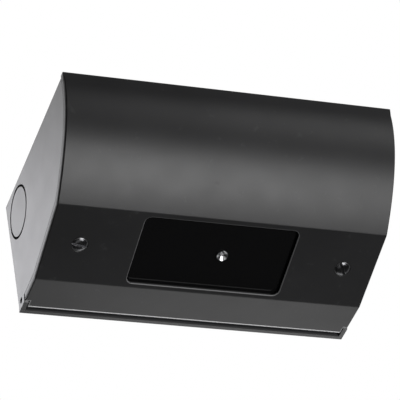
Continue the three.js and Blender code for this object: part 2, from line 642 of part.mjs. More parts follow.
piece(facet, 'window_gasket', windowGasket(), finish(0x151515, 0.9, 0));
piece(facet, 'window_glass', windowGlass(), finish(0x08090a, 0.05, 0));
piece(facet, 'light_box', lightBox(), finish(0x1a1a1c, 0.7, 0));
piece(facet, 'led_board', ledBoard(), finish(0x1f5c33, 0.5, 0));
piece(facet, 'heat_sink', heatSink(), finish(0x8f9296, 0.4, 0.9));
[['red', 0xb02018], ['green', 0x1f8f4a]].forEach(([word, colour], i) => {
  piece(facet, `${word}_diffuser`, diffuser(chambers[i]), finish(colour, 0.4, 0));
  for (let n = 0; n < LEDS_PER_COLOUR; n += 1) {
    piece(facet, `${word}_led_${n + 1}`, led(chambers[i], n), finish(0xe8e2b8, 0.4, 0));
  }
});

let screwNumber = 0;
for (const [word, side] of SIDES) {
  for (const end of [-1, 1]) {
    screwNumber += 1;
    const screw = smallScrew(COVER_WALL / 2 + SEAT_GAP, boxFront + BOX_FLANGE + SEAT_GAP)
      .translate(side * BOSS_SPACING_X / 2, end * BOSS_SPACING_Y / 2, 0);
    piece(facet, `light_box_screw_${screwNumber}`, screw, zincSteel());
  }
  const boardScrew = smallScrew(boxFront + BOX_FLANGE + BOARD_PILOT + 1, boardBack + SEAT_GAP)
    .translate(side * BOSS_SPACING_X / 2, 0, 0);
  piece(facet, `board_screw_${word}`, boardScrew, zincSteel());
}

piece(facet, 'sensor_bezel', sensorBezel(), finish(0xd6d8da, 0.08, 1));
piece(facet, 'light_guide', lightGuide(), finish(0x303438, 0.1, 0));
const sensor = bar(SENSOR_BORE - SEAT_GAP, boxBack - SENSOR.length, boxBack, SENSOR_OFFSET, 0, 16);
piece(facet, 'light_sensor', sensor, finish(0x202020, 0.4, 0));

piece(signal, 'driver_module', driverModule(), finish(0xe4e4e0, 0.6, 0));
piece(signal, 'terminal_block', terminalBlock(), finish(0xf0efe8, 0.5, 0));
for (let pole = 0; pole < TERMINAL.poles; pole += 1) {
  piece(signal, `terminal_screw_${pole + 1}`, terminalScrew(pole), zincSteel());
}
piece(signal, 'earth_stud', earthStud(), finish(0xb8923c, 0.4, 0.9));
piece(signal, 'earth_nut', earthNut(), finish(0xb8923c, 0.4, 0.9));
piece(signal, 'cable_grommet', cableGrommet(), finish(0x181818, 0.85, 0));

export default signal;
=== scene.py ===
# %% [markdown]
# # A pedestrian signal for the corner of a wall and a soffit
# The CAD model already fixes every size, place and joint. This lesson gives it its looks: each visible
# piece is rebuilt as a fine surface in the same place, and every surface gets a material made of nodes.

# %% Load the fixed frame
import json
import math

import bpy
import bmesh
import numpy as np
from mathutils import Matrix, Vector


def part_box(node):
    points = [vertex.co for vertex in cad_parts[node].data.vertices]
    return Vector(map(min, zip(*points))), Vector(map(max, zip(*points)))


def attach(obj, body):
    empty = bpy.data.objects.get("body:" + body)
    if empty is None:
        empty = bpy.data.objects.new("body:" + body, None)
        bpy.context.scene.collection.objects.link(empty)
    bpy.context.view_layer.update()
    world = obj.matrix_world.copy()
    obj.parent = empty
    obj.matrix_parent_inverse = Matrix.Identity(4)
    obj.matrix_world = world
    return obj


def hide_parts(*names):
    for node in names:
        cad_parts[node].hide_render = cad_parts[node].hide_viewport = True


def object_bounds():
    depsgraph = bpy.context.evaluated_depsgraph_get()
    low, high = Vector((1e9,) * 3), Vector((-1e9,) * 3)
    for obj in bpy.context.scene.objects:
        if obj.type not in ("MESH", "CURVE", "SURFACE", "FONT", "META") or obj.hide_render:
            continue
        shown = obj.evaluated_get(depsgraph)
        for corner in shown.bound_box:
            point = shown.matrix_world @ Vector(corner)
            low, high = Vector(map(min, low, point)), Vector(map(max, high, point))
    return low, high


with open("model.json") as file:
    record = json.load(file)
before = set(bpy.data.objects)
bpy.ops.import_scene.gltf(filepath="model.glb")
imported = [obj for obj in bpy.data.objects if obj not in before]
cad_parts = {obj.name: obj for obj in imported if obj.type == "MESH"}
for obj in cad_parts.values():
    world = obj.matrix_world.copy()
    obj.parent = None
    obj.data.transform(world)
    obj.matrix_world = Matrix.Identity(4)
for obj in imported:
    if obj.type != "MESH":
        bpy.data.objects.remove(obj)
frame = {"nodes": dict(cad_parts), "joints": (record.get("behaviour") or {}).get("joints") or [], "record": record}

MM = 0.001
cad_box = [list(corner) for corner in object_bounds()]
print("CAD box", cad_box)

# %% [markdown]
# ## Sizes
# Sections are easiest to draw as a depth from the wall and a height above the lowest edge, in millimetres,
# so a few lines turn the frame's metres into those. Places come from the frame's boxes and joints. What a
# box can't tell, such as the thickness of a wall, is named in the step after this one.

# %% Sizes taken from the frame
low, high = (np.array(corner) / MM for corner in cad_box)
WIDTH, DEPTH, HEIGHT = high - low
HALF = WIDTH / 2
BASE = low[2]
joints = {joint["name"]: joint for joint in frame["joints"]}


def box_mm(node):
    """Lowest and highest corner of a CAD node as (across, depth, height) in millimetres."""
    a, b = (np.array(corner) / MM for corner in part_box(node))
    return np.array([a[0], -b[1], a[2] - BASE]), np.array([b[0], -a[1], b[2] - BASE])


def middle_mm(node):
    """Middle of a CAD node's box as (across, depth, height)."""
    return sum(box_mm(node)) / 2


hinge_place = np.array(joints["cover_hinge"]["pos_m"]) / MM
PIVOT = np.array([-hinge_place[1], hinge_place[2] - BASE])
TRAY_TOP = box_mm("back_tray")[1][2]
screw_axis = np.array(joints["screw_left_undo"]["axis"])
SLOPE = math.atan2(screw_axis[1], screw_axis[2]) + math.pi
print("width, depth, height", np.round([WIDTH, DEPTH, HEIGHT], 1))
print("facet slope", round(math.degrees(SLOPE), 2))

# %% [markdown]
# ## Sizes that the boxes can't tell
# These are the thicknesses, roundings and clearances. Everything is in millimetres. `UNDERSIDE` is how far
# the level part of the cover reaches from the wall, and the facet climbs `FACET_RISE` over `FACET_RUN`
# from there.

# %% Thicknesses, roundings and clearances
SHEET = 2.0
BEND_RADIUS = 1.0
CUT_EDGE = 0.12
COVER_WALL = 3.0
COVER_CORNER = 0.5
COVER_END_ROUND = 2.0
COVER_END_INSIDE = 0.15
COVER_END_FLATNESS = 0.35
REVEAL = 0.12
UNDERSIDE = 23.85
FACET_RUN = UNDERSIDE + 14.2
FACET_RISE = 10.0
BROW_ANGLE = math.radians(38.4)
BROW_STRAIGHT = 4.0
COVER_EDGE = 3.8
CREASE = 0.46
TOE_RADIUS = 4.4
TOE_CLEARANCE = 1.1
EAR_CLEARANCE = 0.5
EAR_END = HALF - SHEET - EAR_CLEARANCE
PIN_RADIUS = 1.0
PIN_BORE = 1.25
WINDOW = (70.0, 35.0, 3.0)
WINDOW_LEDGE = 1.0
WINDOW_CHAMFER = 0.32
GLASS_FRONT = 2.2
GLASS_BACK = 5.2
GLASS_LAP = 1.5
SEAT_GAP = 0.3
SCREW_HEAD = 3.5
SCREW_SHANK = 1.45
SCREW_X = middle_mm("cover_screw_right")[0]
SENSOR_X = middle_mm("sensor_bezel")[0]
print("screws at", round(SCREW_X, 2), "either side, sensor at", round(SENSOR_X, 2))

# %% [markdown]
# ## Lines and loops
# A section is a line of points. Moving a line sideways by a fixed distance gives the other face of a sheet
# of even thickness. The brow of the cover is a quadratic curve, which turns quickly at the top and slowly
# at the bottom, as the real profile does.


# %% Lines
def unit(vectors):
    """Vectors divided by their own lengths."""
    return vectors / np.linalg.norm(vectors, axis=-1, keepdims=True)


def arc(centre, radius, start, end, steps):
    """Points on a circle: centre + radius * (cos angle, sin angle), with angles even from start to end."""
    angle = np.linspace(start, end, steps)
    return np.array(centre) + radius * np.stack([np.cos(angle), np.sin(angle)], -1)


def even(line, steps):
    """The same line with its points spread evenly: the places are looked up along its running length."""
    length = np.concatenate([[0], np.cumsum(np.linalg.norm(np.diff(line, axis=0), axis=1))])
    wanted = np.linspace(0, length[-1], steps)
    return np.stack([np.interp(wanted, length, line[:, k]) for k in (0, 1)], -1)


def corner(before, tip, after, reach, steps=7):
    """A softened corner: a quadratic curve from `reach` before the tip to `reach` after it."""
    start = tip + reach * unit(before - tip)
    end = tip + reach * unit(after - tip)
    t = np.linspace(0, 1, steps)[:, None]
    return (1 - t) ** 2 * start + 2 * t * (1 - t) * tip + t**2 * end


BROW_SAMPLES = 1500


def cover_line(inset, start, top, steps=56):
    """The cover's section from the underside to the brow, moved inwards by inset.

    The underside and the facet are straight. The brow is the quadratic curve between the facet's front end
    and the upright band, moved along its own normals, and it begins where it leaves the facet's moved line.
    """
    facet_end = np.array([UNDERSIDE + FACET_RUN, FACET_RISE])
    control = np.array([DEPTH, FACET_RISE + (DEPTH - facet_end[0]) * math.tan(BROW_ANGLE)])
    brow_top = np.array([DEPTH, HEIGHT - BROW_STRAIGHT])
    t = np.linspace(0, 1, BROW_SAMPLES)[:, None]
    curve = (1 - t) ** 2 * facet_end + 2 * t * (1 - t) * control + t**2 * brow_top
    along = unit(2 * (1 - t) * (control - facet_end) + 2 * t * (brow_top - control))
    curve = curve + inset * np.stack([-along[:, 1], along[:, 0]], -1)

    along_facet = np.array([math.cos(SLOPE), math.sin(SLOPE)])
    into = np.array([-along_facet[1], along_facet[0]])
    foot = np.array([UNDERSIDE - inset * math.tan(SLOPE / 2), inset])
    above = (curve - foot) @ into
    curve = curve[above > 0]
    tip = curve[0] - above[above > 0][0] * into
    past = np.linalg.norm(curve - tip, axis=1) > CREASE
    curve = np.concatenate([even(curve[past], steps), [[DEPTH - inset, top]]])
    begin = np.array([start, inset])
    return np.concatenate([
        [begin], corner(begin, foot, tip, CREASE), corner(foot, tip, curve[0], CREASE)[:-1], curve,
    ])


def rounded_rectangle(width, length, radius, steps=10):
    """A rectangle about the origin whose corners are quarter circles, run anticlockwise."""
    w, l = width / 2 - radius, length / 2 - radius
    turns = [(w, l, 0), (-w, l, 1), (-w, -l, 2), (w, -l, 3)]
    quarter = math.pi / 2
    return np.concatenate([arc((x, y), radius, k * quarter, (k + 1) * quarter, steps) for x, y, k in turns])


def circle(radius, steps=48):
    """A circle about the origin, run anticlockwise, without its last point repeated."""
    return arc((0, 0), radius, 0, 2 * math.pi, steps + 1)[:-1]


def loop_normals(loop):
    """Outward direction at each point of an anticlockwise loop, with a mitre's stretch at the corners."""
    before = unit(loop - np.roll(loop, 1, 0))
    after = unit(np.roll(loop, -1, 0) - loop)
    out = np.stack([before[:, 1] + after[:, 1], -before[:, 0] - after[:, 0]], -1)
    out = unit(out)
    stretch = out[:, 0] * before[:, 1] - out[:, 1] * before[:, 0]
    return out / np.maximum(stretch, 0.5)[:, None]


outer = cover_line(0, COVER_EDGE + COVER_WALL / 2, HEIGHT - COVER_CORNER)
inner = cover_line(COVER_WALL, COVER_EDGE + COVER_WALL / 2, HEIGHT - COVER_CORNER)
print("cover section", len(outer), "points a side, its top is at", np.round(outer[-1], 2))

# %% [markdown]
# ## Surfaces
# Three ways of carrying a profile make every piece here. A *prism* carries one loop straight along and
# rounds both of its ends. A *band* carries a closed profile round a loop, as a gasket or a washer. A
# *turned* piece spins a profile that starts and ends on its axis. Each is worked out as a whole grid at
# once.


# %% Grids into meshes
def grid_faces(rings, count, closed_rings=False):
    """Corner numbers of the quads between rings of `count` points each, with every ring closed on itself."""
    i = np.arange(count)
    j = (i + 1) % count
    r = np.arange(rings if closed_rings else rings - 1)[:, None]
    n = (r + 1) % rings
    quads = np.stack([r * count + i, r * count + j, n * count + j, n * count + i], -1)
    return quads.reshape(-1, 4).tolist()


def prism(loop, low_end, high_end, radius=0.0, steps=5, caps=None, flatness=1.0):
    """Points and faces of a loop carried from low_end to high_end, with rounded ends.

    At an angle a of the rounding, a point lies flatness * radius * (1 - sin a) short of the end and
    radius * (1 - cos a) inside the loop. The radius may differ from point to point.
    """
    radius = np.broadcast_to(np.asarray(radius, float), (len(loop),))[:, None]
    angle = np.linspace(0, math.pi / 2, steps)[None, :]
    short = (flatness * radius * (1 - np.sin(angle))).T
    inside = (radius * (1 - np.cos(angle))).T
    along = np.concatenate([low_end + short[::-1], high_end - short])
    inset = np.concatenate([inside[::-1], inside])
    flat = loop[None] - inset[:, :, None] * loop_normals(loop)[None]
    points = np.concatenate([flat, along[:, :, None]], -1)
    count, rings = len(loop), len(along)
    faces = grid_faces(rings, count)
    first = caps or [list(range(count))]
    faces += [face[::-1] for face in first]
    faces += [[k + (rings - 1) * count for k in face] for face in first]
    return points.reshape(-1, 3), faces


def stack(loop, stations):
    """Points and faces of a loop that grows or shrinks: each station is (place along the axis, growth)."""
    normals = loop_normals(loop)
    rings = [np.column_stack([loop + growth * normals, np.full(len(loop), z)]) for z, growth in stations]
    count = len(loop)
    faces = grid_faces(len(rings), count)
    faces += [list(range(count))[::-1], [k + (len(rings) - 1) * count for k in range(count)]]
    return np.concatenate(rings), faces


def band(loop, profile):
    """A closed profile of (growth, place along the axis), run anticlockwise, carried once round a loop."""
    profile = np.asarray(profile, float)
    normals = loop_normals(loop)
    flat = loop[None] + profile[:, None, 0:1] * normals[None]
    along = np.broadcast_to(profile[:, None, 1:2], flat[..., :1].shape)
    return np.concatenate([flat, along], -1).reshape(-1, 3), grid_faces(len(profile), len(loop), True)


def turned(profile, steps=48):
    """A profile of (radius, place along the axis) spun round the axis, closed by one point at each end."""
    profile = np.asarray(profile, float)
    ring = circle(1.0, steps)
    flat = profile[1:-1, None, 0:1] * ring[None]
    along = np.broadcast_to(profile[1:-1, None, 1:2], flat[..., :1].shape)
    points = np.concatenate([flat, along], -1).reshape(-1, 3)
    points = np.concatenate([points, [[0, 0, profile[0, 1]], [0, 0, profile[-1, 1]]]])
    faces = grid_faces(len(profile) - 2, steps)
    start, end, last = len(points) - 2, len(points) - 1, (len(profile) - 3) * steps
    k = np.arange(steps)
    after = (k + 1) % steps
    faces += np.stack([after, k, np.full(steps, start)], -1).tolist()
    faces += np.stack([last + k, last + after, np.full(steps, end)], -1).tolist()
    return points, faces


def soften(profile, reach, closed=False):
    """A profile with each inner corner replaced by a short curve, so edges catch the light."""
    profile = np.asarray(profile, float)
    spots = range(len(profile)) if closed else range(1, len(profile) - 1)
    curves = [corner(profile[k - 1], profile[k], profile[(k + 1) % len(profile)], reach, 4) for k in spots]
    if closed:
        return np.concatenate(curves)
    return np.concatenate([profile[:1], *curves, profile[-1:]])


# %% [markdown]
# ## Places and pieces
# A profile is drawn flat and then carried to where it belongs: across the width, onto the sloping facet or
# onto the wall plate. The last functions here turn points and faces into a Blender object, cut openings in
# it, and hand it over to the body that it moves with.

# %% Places
def across(points):
    """Points drawn as (depth, height) and carried across the width."""
    return np.stack([points[:, 2], -points[:, 0], points[:, 1] + BASE], -1)


facet_middle = np.array([UNDERSIDE + FACET_RUN / 2, FACET_RISE / 2])


def in_facet(points, x=0.0, turn=0.0):
    """Points drawn on the facet: first across, second down the slope to the wall, third into the housing."""
    c, s = math.cos(turn), math.sin(turn)
    u, v, w = points[:, 0] * c - points[:, 1] * s + x, points[:, 0] * s + points[:, 1] * c, points[:, 2]
    y = -facet_middle[0] + v * math.cos(SLOPE) + w * math.sin(SLOPE)
    z = facet_middle[1] + BASE - v * math.sin(SLOPE) + w * math.cos(SLOPE)
    return np.stack([u, y, z], -1)


def from_wall(points, x, height):
    """Points drawn flat on the wall plate, third value pointing away from the wall."""
    return np.stack([points[:, 0] + x, -points[:, 2], points[:, 1] + height + BASE], -1)


def mesh_object(name, points, faces):
    """A Blender object at the origin whose closed mesh faces outwards."""
    mesh = bpy.data.meshes.new(name)
    mesh.from_pydata((np.asarray(points) * MM).tolist(), [], faces)
    work = bmesh.new()
    work.from_mesh(mesh)
    bmesh.ops.recalc_face_normals(work, faces=work.faces)
    work.to_mesh(mesh)
    work.free()
    made = bpy.data.objects.new(name, mesh)
    bpy.context.scene.collection.objects.link(made)
    return made


def joined(shapes):
    """Several shapes, each as points and faces, as one: the later faces count on from the earlier points."""
    starts = np.cumsum([0] + [len(points) for points, _ in shapes])
    pairs = zip(starts.tolist(), shapes)
    faces = [[k + start for k in face] for start, (_, shape) in pairs for face in shape]
    return np.concatenate([points for points, _ in shapes]), faces


def carve(piece, cutters):
    """Cuts all the tools out of the piece at once and keeps the result as the piece's own mesh."""
    tool = mesh_object(f"{piece.name}_tool", *joined(cutters))
    cut = piece.modifiers.new("cut", "BOOLEAN")
    cut.operation = "DIFFERENCE"
    cut.object = tool
    cut.solver = "EXACT"
    result = bpy.data.meshes.new_from_object(piece.evaluated_get(bpy.context.evaluated_depsgraph_get()))
    piece.modifiers.clear()
    old = piece.data
    piece.data = result
    bpy.data.meshes.remove(old)
    bpy.data.objects.remove(tool)


def finish_piece(piece, body, material, nodes=(), sharp=28.0):
    """Smooths the piece but for its sharp edges and gives it a finish and a body.

    The CAD nodes that it stands for are hidden.
    """
    piece.data.shade_smooth()
    piece.data.set_sharp_from_angle(angle=math.radians(sharp))
    even_shading = piece.modifiers.new("even_shading", "WEIGHTED_NORMAL")
    even_shading.keep_sharp = True
    piece.data.materials.clear()
    piece.data.materials.append(material)
    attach(piece, body)
    if nodes:
        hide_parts(*nodes)
    print(piece.name, len(piece.data.polygons), "faces, rides on", body)
    return piece


print("middle of the facet", np.round(facet_middle, 2), "as depth and height")

# %% [markdown]
# ## Shader expressions
# A material is easier to read as sums and products than as a list of links. The class below wraps an
# output socket, so that `0.4 + 0.1 * noise` adds the Math nodes by itself.


# %% A socket that can be added and multiplied
class Value:
    """An output socket of a shader tree that takes part in Python's sums."""

    def __init__(self, tree, socket):
        self.tree, self.socket = tree, socket

    def _math(self, operation, first, second=None):
        node = self.tree.node("ShaderNodeMath", {"operation": operation}, {0: first, 1: second})
        return node.out(0)

    def __add__(self, other):
        return self._math("ADD", self, other)

    def __sub__(self, other):
        return self._math("SUBTRACT", self, other)

    def __rsub__(self, other):
        return self._math("SUBTRACT", other, self)

    def __mul__(self, other):
        return self._math("MULTIPLY", self, other)

    def size(self):
        """The value without its sign."""
        return self._math("ABSOLUTE", self)

    def root(self):
        """The square root."""
        return self._math("SQRT", self)

    __radd__ = __add__
    __rmul__ = __mul__

    def clamp(self, low_value=0.0, high_value=1.0):
        """The value held between two numbers."""
        return self._math("MAXIMUM", self._math("MINIMUM", self, high_value), low_value)


class Made:
    """A node that has just been added, with its outputs within reach."""

    def __init__(self, tree, node):
        self.tree, self.node = tree, node

    def out(self, name=0):
        return Value(self.tree, self.node.outputs[name])


class Tree:
    """A tree of nodes. All but those a new material starts with are added by the method `node`."""

    def __init__(self, node_tree):
        self.nodes, self.links = node_tree.nodes, node_tree.links

    def put(self, node, inputs):
        """Sets or links the given sockets."""
        for key, value in inputs.items():
            if isinstance(value, Value):
                self.links.new(value.socket, node.inputs[key])
            elif value is not None:
                node.inputs[key].default_value = value

    def node(self, kind, settings=None, inputs=None):
        """Adds any node: its settings first, then the values or links of its sockets."""
        node = self.nodes.new(kind)
        for key, value in (settings or {}).items():
            if key == "stops":
                ramp = node.color_ramp
                for index, (position, color) in enumerate(value):
                    spot = ramp.elements[index] if index < 2 else ramp.elements.new(position)
                    spot.position, spot.color = position, (*color, 1)
            else:
                setattr(node, key, value)
        self.put(node, inputs or {})
        return Made(self, node)


class Finish(Tree):
    """One material: a Principled shader and the nodes that feed it."""

    def __init__(self, name, color, roughness, metallic=0.0, **shader):
        self.material = bpy.data.materials.new(name)
        self.material.use_nodes = True
        super().__init__(self.material.node_tree)
        self.shader = self.nodes["Principled BSDF"]
        self.put(self.shader, {"Base Color": (*color, 1), "Roughness": roughness, "Metallic": metallic})
        self.put(self.shader, shader)
        self.place = self.node("ShaderNodeTexCoord").out("Object")

    def millimetres(self):
        """Distance across, depth from the wall and height above the lowest edge, each as a value."""
        split = self.node("ShaderNodeSeparateXYZ", None, {0: self.place})
        return split.out("X") * (1 / MM), split.out("Y") * (-1 / MM), split.out("Z") * (1 / MM) - BASE

    def noise(self, size_mm, detail=2.0, stretch=None, roughness=0.5):
        """Soft random values near 0.5, one blob every size_mm millimetres."""
        place = self.place
        if stretch:
            place = self.node("ShaderNodeMapping", None, {"Vector": place, "Scale": stretch}).out()
        settings = {"Vector": place, "Scale": 1 / (size_mm * MM), "Detail": detail, "Roughness": roughness}
        return self.node("ShaderNodeTexNoise", None, settings).out("Fac")

    def mix(self, share, first, second):
        """A colour that goes from the first to the second as share goes from 0 to 1."""
        colors = [c if isinstance(c, Value) else (*c, 1) for c in (first, second)]
        settings = {"data_type": "RGBA", "clamp_factor": True}
        return self.node("ShaderNodeMix", settings, {0: share, 6: colors[0], 7: colors[1]}).out(2)

    def bump(self, height, depth_mm, strength=1.0):
        """Raises and lowers the shading by height times depth_mm."""
        inputs = {"Height": height, "Distance": depth_mm * MM, "Strength": strength}
        self.put(self.shader, {"Normal": self.node("ShaderNodeBump", None, inputs).out()})


# %% [markdown]
# ## Finishes
# The housing is powder coated. Powder melts into a skin with a faint orange peel, about a millimetre from
# hill to hill and a few microns high, and its gloss wavers a little. Three noises of different sizes give
# the skin, the gloss and a trace of dust.


# %% Coats and metals
def powder_coat(name, color, roughness, peel=0.012, painted_light=None):
    """Satin powder coat: even colour, wavering gloss, orange peel and a little dust.

    The optional function gives pairs of a share from 0 to 1 and a tone painted there: painted highlights along
    edges that catch the light, or painted light over a shaded strip.
    """
    finish = Finish(name, color, roughness)
    cloud = finish.noise(38, 3)
    dust = finish.noise(4.5, 5, roughness=0.65)
    lighter = [min(1, c * 1.16 + 0.002) for c in color]
    darker = [c * 0.9 for c in color]
    shade = finish.mix((cloud - 0.35) * 3, darker, lighter)
    speck = ((dust - 0.62) * 8).clamp()
    tone = finish.mix(speck * 0.18, shade, (0.12, 0.12, 0.12))
    # painted highlights and painted light, laid over the coat's own colour
    for share, level in (painted_light(finish) if painted_light else ()):
        tone = finish.mix(share, tone, (level, level, level * 1.02))
    finish.put(finish.shader, {
        "Base Color": tone,
        "Roughness": (roughness - 0.035) + 0.07 * finish.noise(11, 3) + 0.05 * speck,
    })
    finish.bump(finish.noise(0.9, 2) + 0.35 * finish.noise(0.35, 1), peel)
    return finish.material


def brushed_metal(name, color, roughness, stretch, grain=0.35, depth=0.004):
    """Bare metal with fine lines along one direction, made by a noise that is stretched far along it."""
    finish = Finish(name, color, roughness, 1.0)
    lines = finish.noise(grain, 3, stretch=stretch)
    stain = finish.noise(6, 3)
    darker = [c * 0.72 for c in color]
    finish.put(finish.shader, {
        "Base Color": finish.mix((lines - 0.3) * 1.6, darker, color),
        "Roughness": roughness - 0.1 + 0.16 * lines + 0.1 * stain,
    })
    finish.bump(lines, depth)
    return finish.material


def moulded(name, color, roughness, grain=0.25, depth=0.006):
    """Moulded plastic or rubber: fine spark grain and a slow drift in colour."""
    finish = Finish(name, color, roughness)
    drift = finish.noise(9, 3)
    lighter = [min(1, c * 1.12 + 0.003) for c in color]
    finish.put(finish.shader, {
        "Base Color": finish.mix((drift - 0.3) * 2, color, lighter),
        "Roughness": roughness - 0.05 + 0.1 * drift,
    })
    finish.bump(finish.noise(grain, 2), depth)
    return finish.material


print("three kinds of coat are ready")

# %% [markdown]
# ## Painted highlights on edges and screws
# Fine lighter lines are painted along the cover's window, lower edge and notches as highlights where these edges
# catch the light, a faint painted light lifts the shaded strip at the lower end of the wall plate's inside, and
# painted highlights sit on the rims and slot lips of the screw heads.
# Each line is a distance turned into a share from 0 to 1: the distance that is left is multiplied by
# `SHARPNESS` and clamped.

# %% Painted highlights on edges
SHARPNESS = 8.0
BLACK_OXIDE = (0.10, 0.10, 0.105)
# widths of the painted highlights on the rims and slot lips of the screw heads
RIM_HIGHLIGHT, LIP_HIGHLIGHT = 0.3, 0.2
SLOT = (0.55, 0.3)
SCREW_TURNS = {"left": math.radians(8), "right": math.radians(60)}
# widths and tones of the painted highlights along the cover's lower edge, notches and window
REAR_LINE, NOTCH_LINE = 1.7, 0.35
WINDOW_HIGHLIGHT_TONE, REAR_HIGHLIGHT_TONE, NOTCH_HIGHLIGHT_TONE = 0.2, 0.95, 0.35


def facet_place(finish):
    """Distance across, down the facet's slope to the wall, and into the housing, each as a value."""
    x, depth, height = finish.millimetres()
    ahead, above = facet_middle[0] - depth, height - facet_middle[1]
    down = ahead * math.cos(SLOPE) - above * math.sin(SLOPE)
    return x, down, ahead * math.sin(SLOPE) + above * math.cos(SLOPE)


def painted_edge_highlights(finish):
    """Painted highlights: fine bright lines round the window, along the cover's lower edge and round the notches
    for the toes.

    Round the window the distance to a rounded rectangle is worked out: the part of each coordinate that
    passes the straight sides is kept, the two are joined by Pythagoras, and the corner radius is taken off.
    """
    depth, height = finish.millimetres()[1:]
    x, down, inwards = facet_place(finish)
    x, down = x.size(), down.size()
    past_x = (x - (WINDOW[0] / 2 - WINDOW[2])).clamp(0, 99)
    past_y = (down - (WINDOW[1] / 2 - WINDOW[2])).clamp(0, 99)
    from_window = (past_x * past_x + past_y * past_y).root() - WINDOW[2]
    window = ((WINDOW_CHAMFER + 0.06 - from_window) * SHARPNESS).clamp()
    window = window * ((WINDOW_CHAMFER + 0.1 - inwards) * SHARPNESS).clamp()
    low_side = ((0.9 - height) * SHARPNESS).clamp()
    rear = ((COVER_EDGE + REAR_LINE - depth) * SHARPNESS).clamp() * low_side
    a, b = depth - PIVOT[0], height - PIVOT[1]
    from_pin = (a * a + b * b).root()
    notch = ((TOE_RADIUS + TOE_CLEARANCE + NOTCH_LINE - from_pin) * SHARPNESS).clamp()
    notch = notch * ((x - (EAR_END - NOTCH_LINE)) * SHARPNESS).clamp() * low_side
    return [(window, WINDOW_HIGHLIGHT_TONE), (rear, REAR_HIGHLIGHT_TONE), (notch, NOTCH_HIGHLIGHT_TONE)]


def painted_lip_light(finish):
    """Painted light: a faintly lighter strip at the lower end of the wall plate's inner face, which lies in shade.
    """
    depth, height = finish.millimetres()[1:]
    strip = ((depth - SHEET + 0.3) * SHARPNESS).clamp() * ((SHEET + 0.3 - depth) * SHARPNESS).clamp()
    return [(strip * ((1.3 - height) * 1.5).clamp(), 0.08)]


def highlit_screw_steel(name, side, turn):
    """Blackened steel with painted highlights: a lighter tone on the rim of the head and the lips of the slot,
    where they catch the light.

    Seen along the screw, the distance from its axis is found by Pythagoras, and the distance from the middle
    of the slot by turning the two coordinates through the slot's angle.
    """
    finish = Finish(name, BLACK_OXIDE, 0.3, 1.0)
    x, down, inwards = facet_place(finish)
    x = x - side * SCREW_X
    from_axis = (x * x + down * down).root()
    from_slot = (down * math.cos(turn) - x * math.sin(turn)).size()
    near_top = ((0.5 - inwards) * SHARPNESS).clamp()
    rim = ((from_axis - (SCREW_HEAD - RIM_HIGHLIGHT)) * SHARPNESS).clamp() * near_top
    lip = ((SLOT[0] + LIP_HIGHLIGHT - from_slot) * SHARPNESS).clamp()
    lip = lip * ((from_slot - SLOT[0]) * SHARPNESS).clamp()
    # painted highlight on the rim and slot lips, broken up by noise
    painted_highlight = (rim + lip * near_top).clamp() * (0.45 + 0.9 * finish.noise(1.2, 3)).clamp()
    stain = finish.noise(2.5, 3)
    finish.put(finish.shader, {
        "Base Color": finish.mix(painted_highlight, BLACK_OXIDE, (0.36, 0.36, 0.37)),
        "Roughness": 0.22 + 0.12 * stain + 0.1 * painted_highlight,
    })
    finish.bump(finish.noise(0.3, 2), 0.004)
    return finish.material


print("slots turned by", {word: round(math.degrees(turn)) for word, turn in SCREW_TURNS.items()}, "degrees")

# %% [markdown]
# ## Glass, chrome and circuit board
# Three finishes need nodes of their own. The glass mirrors nearly everything it shows, the chrome keeps
# the rings of its turning, and the board gets tracks and pads from two cell patterns.

# %% Glass, chrome and board
def dark_glass():
    """Glass printed black from behind: mirror-smooth, with the faintest waviness and a few dust specks."""
    finish = Finish("dark_glass", (0.006, 0.006, 0.0063), 0.03, IOR=1.5)
    speck = ((finish.noise(1.1, 4, roughness=0.7) - 0.72) * 14).clamp()
    finish.put(finish.shader, {
        "Base Color": finish.mix(speck * 0.25, (0.006, 0.006, 0.0063), (0.06, 0.06, 0.06)),
        "Roughness": 0.02 + 0.02 * finish.noise(14, 2) + 0.2 * speck,
    })
    finish.bump(finish.noise(16, 1), 0.004)
    return finish.material


def polished_chrome():
    """Polished plate with the fine rings that turning leaves."""
    finish = Finish("polished_chrome", (0.86, 0.87, 0.89), 0.07, 1.0)
    rings = finish.noise(0.4, 2)
    finish.put(finish.shader, {"Roughness": 0.14 + 0.1 * rings})
    finish.bump(rings, 0.001)
    return finish.material


def circuit_board():
    """Green solder mask over copper: tracks follow the borders of cells, with a pad in some of them."""
    finish = Finish("circuit_board", (0.012, 0.085, 0.03), 0.35)
    cells = {"feature": "DISTANCE_TO_EDGE", "voronoi_dimensions": "3D"}
    edge = finish.node("ShaderNodeTexVoronoi", cells, {
        "Vector": finish.place, "Scale": 260.0, "Randomness": 0.35,
    })
    track = ((0.09 - edge.out("Distance")) * 30).clamp()
    spots = {"feature": "F1", "voronoi_dimensions": "3D"}
    spot = finish.node("ShaderNodeTexVoronoi", spots, {
        "Vector": finish.place, "Scale": 130.0, "Randomness": 0.6,
    })
    pad = ((0.16 - spot.out("Distance")) * 30).clamp()
    masked = finish.mix(track, (0.012, 0.085, 0.03), (0.035, 0.17, 0.055))
    finish.put(finish.shader, {
        "Base Color": finish.mix(pad, masked, (0.5, 0.5, 0.48)),
        "Roughness": 0.32 + 0.12 * finish.noise(5, 2),
        "Metallic": pad * 0.8,
    })
    finish.bump(track * 0.5 + pad, 0.03)
    return finish.material


print("three finishes with nodes of their own are ready")

# %% [markdown]
# ## The list of finishes
# Every finish is made once here and shared by all the pieces that wear it.

# %% All finishes
# The cover's coat carries painted highlights along its edges.
cover_coat = powder_coat("cover_coat", (0.014, 0.014, 0.015), 0.40, painted_light=painted_edge_highlights)
